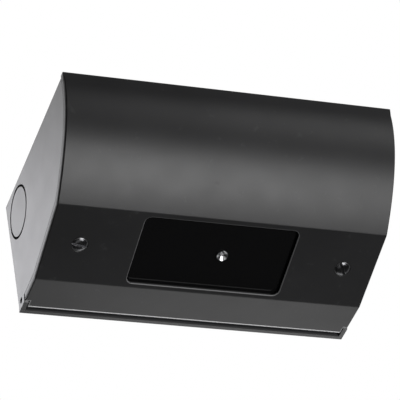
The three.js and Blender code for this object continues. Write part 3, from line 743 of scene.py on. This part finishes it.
# The tray's coat carries a faint painted light on the shaded lower end of its inner face.
tray_coat = powder_coat("tray_coat", (0.034, 0.0345, 0.036), 0.36, 0.005, painted_lip_light)
blackened_steel = brushed_metal("blackened_steel", BLACK_OXIDE, 0.42, (1, 1, 1), grain=0.8)
zinc_steel = brushed_metal("zinc_steel", (0.62, 0.64, 0.66), 0.36, (1, 6, 1))
bare_aluminium = brushed_metal("bare_aluminium", (0.66, 0.67, 0.69), 0.38, (0.05, 1, 1))
brass = brushed_metal("brass", (0.62, 0.44, 0.17), 0.34, (1, 1, 1), grain=0.8)
gasket_foam = moulded("gasket_foam", (0.012, 0.012, 0.012), 0.9, 0.5, 0.05)
black_moulding = moulded("black_moulding", (0.018, 0.018, 0.02), 0.6)
nylon = moulded("nylon", (0.62, 0.59, 0.52), 0.5)
black_rubber = moulded("black_rubber", (0.017, 0.017, 0.017), 0.75, 0.6, 0.02)
driver_case = moulded("driver_case", (0.62, 0.62, 0.6), 0.55)
terminal_plastic = moulded("terminal_plastic", (0.72, 0.7, 0.64), 0.35)
led_package = moulded("led_package", (0.75, 0.68, 0.38), 0.3)
sensor_plastic = moulded("sensor_plastic", (0.02, 0.02, 0.022), 0.3)
red_diffuser = moulded("red_diffuser", (0.42, 0.035, 0.02), 0.35, 1.2, 0.02)
green_diffuser = moulded("green_diffuser", (0.02, 0.30, 0.11), 0.35, 1.2, 0.02)
clear_acrylic = moulded("clear_acrylic", (0.4, 0.4, 0.41), 0.2, 2.0, 0.001)
glass_finish = dark_glass()
chrome_finish = polished_chrome()
print(len(bpy.data.materials), "materials so far")

# %% [markdown]
# ## The front cover
# The cover is one bent and milled plate, three millimetres thick. Its section is carried across the width,
# its cut ends are rounded over, and then the window, the two countersinks and the notches round the tray's
# toes are cut out of it, as a milling cutter would.

# %% Cover
mid = COVER_WALL / 2
corner_height = HEIGHT - COVER_CORNER
top_round = np.concatenate([
    arc((DEPTH - COVER_CORNER, corner_height), COVER_CORNER, 0, math.pi / 2, 7)[1:],
    arc((DEPTH - COVER_WALL + COVER_CORNER, corner_height), COVER_CORNER, math.pi / 2, math.pi, 7)[:-1],
])
edge_round = arc((COVER_EDGE + mid, mid), mid, math.pi / 2, 1.5 * math.pi, 15)[1:-1]
cover_loop = np.concatenate([outer, top_round, inner[::-1], edge_round])
side = len(outer)
last = len(cover_loop) - 1
inner_at = 2 * side + len(top_round) - 1
rungs = [[k, k + 1, inner_at - k - 1, inner_at - k] for k in range(side - 1)]
rungs += [list(range(side - 1, side + len(top_round) + 1)), [*range(inner_at, last + 1), 0]]
place_on_loop = np.arange(last + 1)
turning_points = [0, side - 1, side + len(top_round), inner_at, last + 1]
on_outside = np.interp(place_on_loop, turning_points, [1, 1, 0, 0, 1])
end_round = COVER_END_INSIDE + (COVER_END_ROUND - COVER_END_INSIDE) * on_outside
below_top = HEIGHT - COVER_CORNER - cover_loop[:, 1]
end_round = np.minimum(end_round, 0.8 * COVER_CORNER + 0.6 * np.maximum(below_top, 0))
points, faces = prism(cover_loop, -HALF, HALF, end_round, 10, rungs, COVER_END_FLATNESS)
cover_shell = mesh_object("cover_shell", across(points), faces)

window_loop = rounded_rectangle(*WINDOW)
lap = GLASS_LAP + SEAT_GAP
window_tool = stack(window_loop, [
    (-3, 3 + WINDOW_CHAMFER), (-0.1, WINDOW_CHAMFER + 0.1), (0.1, WINDOW_CHAMFER - 0.12),
    (WINDOW_CHAMFER, 0), (WINDOW_LEDGE, 0), (WINDOW_LEDGE, lap), (12, lap),
])
SINK_CLEARANCE, HOLE_CLEARANCE = 0.2, 0.4
sink = SCREW_HEAD + SINK_CLEARANCE
screw_hole = SCREW_SHANK + HOLE_CLEARANCE
sink_tool = stack(circle(screw_hole, 64), [
    (-2, sink + 2.2 - screw_hole), (-0.12, sink + 0.22 - screw_hole), (0.12, sink - 0.1 - screw_hole),
    (sink - screw_hole, 0), (12, 0),
])
notch = (circle(TOE_RADIUS + TOE_CLEARANCE, 96) + PIVOT, EAR_END, HALF + 5)
right_notch = prism(notch[0], notch[1], notch[2])
left_notch = prism(notch[0], -notch[2], -notch[1])
carve(cover_shell, [
    (in_facet(window_tool[0]), window_tool[1]),
    (in_facet(sink_tool[0], SCREW_X), sink_tool[1]),
    (in_facet(sink_tool[0], -SCREW_X), sink_tool[1]),
    (across(right_notch[0]), right_notch[1]),
    (across(left_notch[0]), left_notch[1]),
])
finish_piece(cover_shell, "cover", cover_coat, ["front_cover"])

# %% [markdown]
# ## Ears and bosses
# Two ears inside the cover run on the hinge pins, and four round bosses take the screws of the light box.
# They only show when the cover is open, but they are what holds it.

# %% Ears and bosses
EAR_RADIUS = 2.0
EAR_WIDTH = 2.5
BOSS_RADIUS, BOSS_WALL, BOSS_ROOT = 3.0, 1.9, 0.3
BOSS_X, BOSS_DOWN = 42.0, 13.0
for word, sign in (("left", -1), ("right", 1)):
    ends = sorted([sign * (EAR_END - EAR_WIDTH), sign * EAR_END])
    bore = PIN_BORE - EAR_RADIUS
    points, faces = band(circle(EAR_RADIUS, 40) + PIVOT, soften([
        (0, ends[0]), (0, ends[1]), (bore, ends[1]), (bore, ends[0])], 0.15, True))
    ear = mesh_object(f"cover_ear_{word}", across(points), faces)
    finish_piece(ear, "cover", cover_coat)

boss_places = [(sx * BOSS_X, sy * BOSS_DOWN) for sx in (-1, 1) for sy in (-1, 1)]
boss_foot = COVER_WALL - BOSS_ROOT
points, faces = band(circle(BOSS_RADIUS, 32), soften([
    (0, boss_foot), (0, GLASS_BACK), (-BOSS_WALL, GLASS_BACK), (-BOSS_WALL, boss_foot)], 0.2, True))
boss_shapes = [(in_facet(points + [0, y, 0], x), faces) for x, y in boss_places]
bosses = mesh_object("cover_bosses", *joined(boss_shapes))
finish_piece(bosses, "cover", cover_coat)

# %% [markdown]
# ## The tray
# The tray is folded from two-millimetre sheet. Its folds have a round outside of a millimetre, while its
# cut edges along the cover are nearly sharp, so the rounding of the prism's ends differs from point to
# point.

# %% Tray
FOLD_END = 2.5
TOP_BEND = BEND_RADIUS + 0.2
LOW_CORNER = CUT_EDGE + 0.05
gap = COVER_WALL + REVEAL
toe_turn = math.asin(PIVOT[1] / TOE_RADIUS)
toe = arc(PIVOT, TOE_RADIUS, -toe_turn, math.asin((gap - PIVOT[1]) / TOE_RADIUS), 14)
front_line = cover_line(gap, toe[-1][0] + 1, TRAY_TOP)
back_corners = np.concatenate([
    arc((TOP_BEND, TRAY_TOP - TOP_BEND), TOP_BEND, math.pi / 2, math.pi, 9),
    [[0.0, FOLD_END]], arc((LOW_CORNER, LOW_CORNER), LOW_CORNER, math.pi, 1.5 * math.pi, 5),
])
tray_loop = np.concatenate([toe, front_line, back_corners])
on_wall = (tray_loop[:, 0] < TOP_BEND) & (tray_loop[:, 1] >= FOLD_END)
folded = on_wall | (tray_loop[:, 1] > TRAY_TOP - BEND_RADIUS)
edge_radius = np.where(folded, BEND_RADIUS, CUT_EDGE)
points, faces = prism(tray_loop, -HALF, HALF, edge_radius, 18)
tray_shell = mesh_object("tray_shell", across(points), faces)

hollow_loop = np.array([[SHEET, -HEIGHT], [3 * DEPTH, -HEIGHT], [3 * DEPTH, TRAY_TOP - SHEET]])
hollow_corner = arc((SHEET + 0.5, TRAY_TOP - SHEET - 0.5), 0.5, math.pi / 2, math.pi, 6)
hollow = prism(np.concatenate([hollow_loop, hollow_corner]), SHEET - HALF, HALF - SHEET, 0.0, 2)
knockout_low, knockout_high = box_mm("knockout_disc_left")
knockout = (knockout_low + knockout_high) / 2
KNOCKOUT_RADIUS = (knockout_high[1] - knockout_low[1]) / 2
KNOCKOUT_GAP = 0.95
punch = [
    (-HALF - 2, 2.0), (-HALF - 0.05, 0.2), (-HALF + 0.15, 0),
    (HALF - 0.15, 0), (HALF + 0.05, 0.2), (HALF + 2, 2),
]
knockout_tool = stack(circle(KNOCKOUT_RADIUS + KNOCKOUT_GAP, 128) + knockout[1:], punch)
pin_tool = stack(circle(PIN_BORE, 40) + PIVOT, punch)
grommet_place = middle_mm("cable_grommet")
earth_place = middle_mm("earth_stud")
KEYHOLE_X, KEYHOLE_HEIGHT, KEYHOLE_DROP = 62.0, 44.0, 7.0
KEYHOLE_NECK, KEYHOLE_HEAD = 2.2, 4.0
HEAD_FROM, HEAD_TO = math.radians(123.4), math.radians(416.6)
GROMMET_HOLE, EARTH_HOLE = 7.0, 2.3
through = (-SHEET, 1.5 * SHEET)
keyhole_loop = np.concatenate([
    arc((0, 0), KEYHOLE_NECK, 0, math.pi, 13),
    arc((0, -KEYHOLE_DROP), KEYHOLE_HEAD, HEAD_FROM, HEAD_TO, 33),
])
carve(tray_shell, [(across(hollow[0]), hollow[1])])
wall_holes = [
    (circle(GROMMET_HOLE), grommet_place[0], grommet_place[2]),
    (circle(EARTH_HOLE, 32), earth_place[0], earth_place[2]),
    (keyhole_loop, -KEYHOLE_X, KEYHOLE_HEIGHT), (keyhole_loop, KEYHOLE_X, KEYHOLE_HEIGHT),
]
tools = [(across(points), faces) for points, faces in (knockout_tool, pin_tool)]
for loop, x, height in wall_holes:
    points, faces = prism(loop, *through)
    tools.append((from_wall(points, x, height), faces))
carve(tray_shell, tools)
finish_piece(tray_shell, "housing", tray_coat, ["back_tray"])

# %% [markdown]
# ## Knock-out discs and hinge pins
# Each end plate holds a disc that can be struck out for a cable, and a pin that the cover's ear turns on.

# %% Discs and pins
for word, sign in (("left", -1), ("right", 1)):
    ends = sorted([sign * (HALF - SHEET), sign * HALF])
    points, faces = prism(circle(KNOCKOUT_RADIUS, 128) + knockout[1:], ends[0], ends[1], 0.2, 5)
    disc = mesh_object(f"knockout_{word}", across(points), faces)
    finish_piece(disc, "housing", tray_coat, [f"knockout_disc_{word}"])

    pin_low, pin_high = box_mm(f"hinge_pin_{word}")
    points, faces = prism(circle(PIN_RADIUS, 40) + PIVOT, pin_low[0], pin_high[0], 0.3, 5)
    pin = mesh_object(f"pin_{word}", across(points), faces)
    finish_piece(pin, "housing", blackened_steel, [f"hinge_pin_{word}"])

# %% [markdown]
# ## Screws
# A raised countersunk head is a shallow dome over a cone. The profile is spun, and then the slot is cut
# across it with a flat floor. Each slot stands at the angle at which its screw happened to stop.

# %% Cover screws
SLOT_BREAK = 0.14
CONE_TOP = 0.15
DOME_RISE = 0.9
SCREW_TIP = 13.3
share = np.linspace(0, 1, 16)
dome = np.column_stack([SCREW_HEAD * share, CONE_TOP - DOME_RISE * (1 - share**4)])
shank = [
    (SCREW_HEAD, CONE_TOP + 0.12), (SCREW_SHANK, CONE_TOP + SCREW_HEAD - SCREW_SHANK + 0.1),
    (SCREW_SHANK, SCREW_TIP - 0.5), (SCREW_SHANK - 0.5, SCREW_TIP), (0, SCREW_TIP),
]
screw_profile = np.concatenate([dome, soften(shank, 0.08)])
slot_loop = np.array([[-6, -SLOT[0]], [6, -SLOT[0]], [6, SLOT[0]], [-6, SLOT[0]]])
for word, sign in (("left", -1), ("right", 1)):
    turn = SCREW_TURNS[word]
    points, faces = turned(screw_profile, 64)
    screw = mesh_object(f"slotted_screw_{word}", in_facet(points, sign * SCREW_X, turn), faces)
    points, faces = stack(slot_loop, [(-3, 0.3), (-0.5, 0.02), (SLOT[1] - 0.1, 0), (SLOT[1], -0.1)])
    carve(screw, [(in_facet(points, sign * SCREW_X, turn), faces)])
    broken_edge = screw.modifiers.new("broken_edge", "BEVEL")
    broken_edge.width, broken_edge.segments = SLOT_BREAK * MM, 2
    broken_edge.limit_method, broken_edge.angle_limit = "ANGLE", math.radians(50)
    # a steel finish for each screw, with painted highlights at its slot's angle
    screw_steel = highlit_screw_steel(f"worn_steel_{word}", sign, turn)
    finish_piece(screw, f"screw_{word}", screw_steel, [f"cover_screw_{word}"])

# %% [markdown]
# ## The window
# The glass sits behind a lip of the cover on a thin foam gasket. It is nearly black and very smooth, so
# what it shows is mostly what it mirrors.

# %% Glass and gasket
glass_width, glass_length = WINDOW[0] + 2 * GLASS_LAP, WINDOW[1] + 2 * GLASS_LAP
glass_loop = rounded_rectangle(glass_width, glass_length, WINDOW[2] + GLASS_LAP, 12)
points, faces = prism(glass_loop, GLASS_FRONT, GLASS_BACK, 0.25, 4)
pane = mesh_object("window_pane", in_facet(points), faces)
sensor_tool = stack(circle(2.2, 48), [(0, 0.4), (GLASS_FRONT + 0.2, 0), (GLASS_BACK + 1, 0)])
carve(pane, [(in_facet(sensor_tool[0], SENSOR_X), sensor_tool[1])])
finish_piece(pane, "cover", glass_finish, ["window_glass"])

gasket_front = WINDOW_LEDGE + SEAT_GAP
gasket_back = GLASS_FRONT - SEAT_GAP
gasket_loop = rounded_rectangle(WINDOW[0] + 0.6, WINDOW[1] + 0.6, WINDOW[2], 12)
points, faces = band(gasket_loop, soften([
    (0, gasket_front), (0, gasket_back), (1.2, gasket_back), (1.2, gasket_front)], 0.1, True))
gasket = mesh_object("foam_gasket", in_facet(points), faces)
finish_piece(gasket, "cover", gasket_foam, ["window_gasket"])

# %% [markdown]
# ## The light sensor's ring
# A small turned ring stands out of the glass. Its polished dish gathers the light around it into one
# bright wedge, and the milky tip of the light guide closes the dish in the middle.

# %% Bezel and light guide
DISH_ANGLE = math.radians(31)
RING_RADIUS, RING_BORE, RING_STEM, RIM_HEIGHT = 2.6, 0.8, 1.9, 0.5
GUIDE_TIP, GUIDE_ROD, GUIDE_STEP, GUIDE_END = 0.68, 1.6, 5.5, 16
head_back = GLASS_FRONT - SEAT_GAP
radii = np.linspace(RING_RADIUS - 0.15, RING_BORE, 9)
dish_depth = head_back - RIM_HEIGHT + (RING_RADIUS - 0.15 - radii) * math.tan(DISH_ANGLE)
dish = np.column_stack([radii, dish_depth])
dish_end = dish[-1][1]
bezel_profile = np.concatenate([
    [(RING_BORE, GLASS_BACK), (RING_STEM, GLASS_BACK), (RING_STEM, head_back)],
    [(RING_RADIUS - 0.05, head_back)],
    [(RING_RADIUS, head_back - 0.08), (RING_RADIUS - 0.08, head_back - RIM_HEIGHT + 0.08)], dish,
])
points, faces = band(circle(1.0, 64), bezel_profile - [1.0, 0])
bezel = mesh_object("sensor_ring", in_facet(points, SENSOR_X), faces)
finish_piece(bezel, "cover", chrome_finish, ["sensor_bezel"])

guide_profile = soften([
    (0, dish_end - 0.12), (0.35, dish_end - 0.08), (GUIDE_TIP, dish_end), (GUIDE_TIP, GUIDE_STEP),
    (GUIDE_ROD, GUIDE_STEP), (GUIDE_ROD, GUIDE_END), (0, GUIDE_END),
], 0.05)
points, faces = turned(guide_profile, 40)
guide = mesh_object("sensor_light_guide", in_facet(points, SENSOR_X), faces)
finish_piece(guide, "cover", clear_acrylic, ["light_guide"])

# %% [markdown]
# ## Pieces inside
# The remaining pieces keep their CAD shapes. Each is given its finish; small bevels on merged copies would
# be the next step.

# %% Finishes for the CAD pieces that stay
by_slot = {
    "zinc_steel": zinc_steel, "nylon": nylon, "black_moulding": black_moulding, "red_diffuser": red_diffuser,
    "green_diffuser": green_diffuser, "led_package": led_package, "bare_aluminium": bare_aluminium,
    "sensor_plastic": sensor_plastic, "driver_case": driver_case, "terminal_plastic": terminal_plastic,
    "brass": brass, "black_rubber": black_rubber, "circuit_board": circuit_board(),
}
slot_of = {part["node"]: part["material_slot"] for part in frame["record"]["subparts"]}
for name, node in frame["nodes"].items():
    if slot_of[name] in by_slot:
        node.data.materials.clear()
        node.data.materials.append(by_slot[slot_of[name]])
print(len(by_slot), "finishes for the pieces inside")

# %% [markdown]
# ## Light, floor and camera
# The unit is seen from below and from its left, against a bright studio. A large white field behind it is
# mirrored at a glancing angle by the end plate, which is why that plate looks so much lighter than the
# cover.

# %% Camera
scene = bpy.context.scene
scene.view_settings.view_transform = "Standard"

CAMERA_AZIMUTH = math.radians(-25.433)
CAMERA_ELEVATION = math.radians(-38.356)
CAMERA_ROLL = math.radians(-10.748)
CAMERA_DISTANCE = 1211.5
CAMERA_SIDE = 7.18
CAMERA_RISE = 55.35
LENS_MM = 249.3
SENSOR_MM = 36.0

behind = np.array([
    math.sin(CAMERA_AZIMUTH) * math.cos(CAMERA_ELEVATION),
    -math.cos(CAMERA_AZIMUTH) * math.cos(CAMERA_ELEVATION),
    math.sin(CAMERA_ELEVATION),
])
right = unit(np.cross(-behind, [0, 0, 1]))
up = np.cross(right, -behind)
roll_c, roll_s = math.cos(CAMERA_ROLL), math.sin(CAMERA_ROLL)
right, up = right * roll_c + up * roll_s, up * roll_c - right * roll_s
place = behind * CAMERA_DISTANCE + right * CAMERA_SIDE + up * CAMERA_RISE + [0, 0, BASE]

camera_data = bpy.data.cameras.new("camera")
camera_data.sensor_width = SENSOR_MM
camera_data.lens = LENS_MM
camera_data.clip_end = 50
camera = bpy.data.objects.new("camera", camera_data)
scene.collection.objects.link(camera)
matrix = np.eye(4)
matrix[:3, 0], matrix[:3, 1], matrix[:3, 2], matrix[:3, 3] = right, up, behind, place * MM
camera.matrix_world = Matrix(matrix.tolist())
scene.camera = camera
print("camera", round(float(np.linalg.norm(place))), "mm from the middle of the unit")

# %% [markdown]
# ## The world
# The camera sees plain white. Everything else is lit by a ramp that is white in the direction the camera
# looks and nearly black behind it.

# %% World
WORLD_STOPS = [(0.0, 0.01), (0.42, 0.02), (0.62, 0.12), (0.8, 0.85), (1.0, 1.0)]
world = bpy.data.worlds.new("studio")
scene.world = world
world.use_nodes = True
world.node_tree.nodes.clear()
studio = Tree(world.node_tree)
direction = studio.node("ShaderNodeTexCoord").out("Generated")
ahead = Vector((-behind).tolist())
dot = studio.node("ShaderNodeVectorMath", {"operation": "DOT_PRODUCT"}, {0: direction, 1: ahead})
facing = dot.out("Value")
stops = [(position, (level, level, level)) for position, level in WORLD_STOPS]
levels = studio.node("ShaderNodeValToRGB", {"stops": stops}, {0: facing * 0.5 + 0.5}).out()
lit = studio.node("ShaderNodeBackground", None, {"Color": levels}).out()
seen = studio.node("ShaderNodeBackground", None, {"Color": (1, 1, 1, 1)}).out()
by_camera = studio.node("ShaderNodeLightPath").out("Is Camera Ray")
choice = studio.node("ShaderNodeMixShader", None, {0: by_camera, 1: lit, 2: seen}).out()
studio.node("ShaderNodeOutputWorld", None, {0: choice})
print("world of", len(studio.nodes), "nodes")

# %% [markdown]
# ## Lamps and floor
# Four soft lamps light the unit: a large one below the front, one behind for the end plate, one that fills
# in from the right, and a faint one from below. The floor is paper, far below the unit.


# %% Lamps and floor
def soft_lamp(name, place_mm, target_mm, size_mm, watts, color=(1.0, 1.0, 1.0)):
    """A square soft lamp at one place, turned to face another."""
    data = bpy.data.lights.new(name, "AREA")
    data.energy, data.color = watts, color
    data.size = size_mm * MM
    lamp = bpy.data.objects.new(name, data)
    scene.collection.objects.link(lamp)
    lamp.location = Vector(place_mm) * MM
    lamp.rotation_euler = (Vector(target_mm) - Vector(place_mm)).to_track_quat("-Z", "Y").to_euler()
    lamp.visible_camera = False
    return lamp


soft_lamp("front_lamp", (320, -830, -760), (0, -40, 0), 500, 6.6)
soft_lamp("end_lamp", (-330, 640, 370), (-75, -20, 0), 420, 1.25, (0.99, 0.985, 1.035))
soft_lamp("fill_lamp", (620, -1080, 220), (0, -60, 0), 600, 2.3)
soft_lamp("low_lamp", (190, 330, -280), (40, -10, -30), 250, 0.25)

floor_size, floor_height = 0.6, -1.6
floor_mesh = bpy.data.meshes.new("studio_floor")
corners = np.array([[-1, -1], [1, -1], [1, 1], [-1, 1]]) * floor_size + [-0.3, -0.5]
floor_mesh.from_pydata([(x, y, floor_height) for x, y in corners.tolist()], [], [(0, 1, 2, 3)])
floor = bpy.data.objects.new("studio_floor", floor_mesh)
scene.collection.objects.link(floor)
floor_finish = Finish("floor_paper", (0.75, 0.75, 0.74), 0.9)
floor_finish.bump(floor_finish.noise(30, 4), 0.2)
floor_mesh.materials.append(floor_finish.material)
print(len(bpy.data.lights), "lamps, floor at", floor_height, "m")
